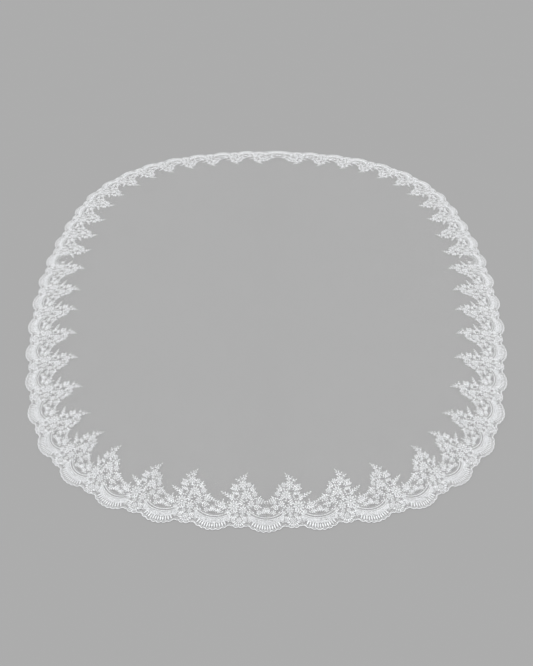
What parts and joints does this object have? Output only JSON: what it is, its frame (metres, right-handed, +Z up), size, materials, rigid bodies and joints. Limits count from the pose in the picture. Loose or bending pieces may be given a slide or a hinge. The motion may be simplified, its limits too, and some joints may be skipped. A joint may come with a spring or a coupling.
{
  "type": "bridal veil",
  "caption": "Oval tulle bridal veil laid flat, edged all round with scalloped floral lace.",
  "frame": {"origin": "on the surface that the veil lies on, under the middle of its outline", "axes": "+Z up out of the cloth, -Y towards the short front edge, +Y towards the long back edge, +X to the right"},
  "size_m": [2.4432, 3.0174, 0.0034],
  "materials": {
    "tulle": "fine soft net, slightly sheer white",
    "lace": "corded embroidered lace, white thread with a low sheen"
  },
  "bodies": {
    "root": {"tulle_panel": "tulle", "lace_front_left": "lace", "lace_front_right": "lace", "lace_back_left": "lace", "lace_back_right": "lace"}
  },
  "joints": []
}
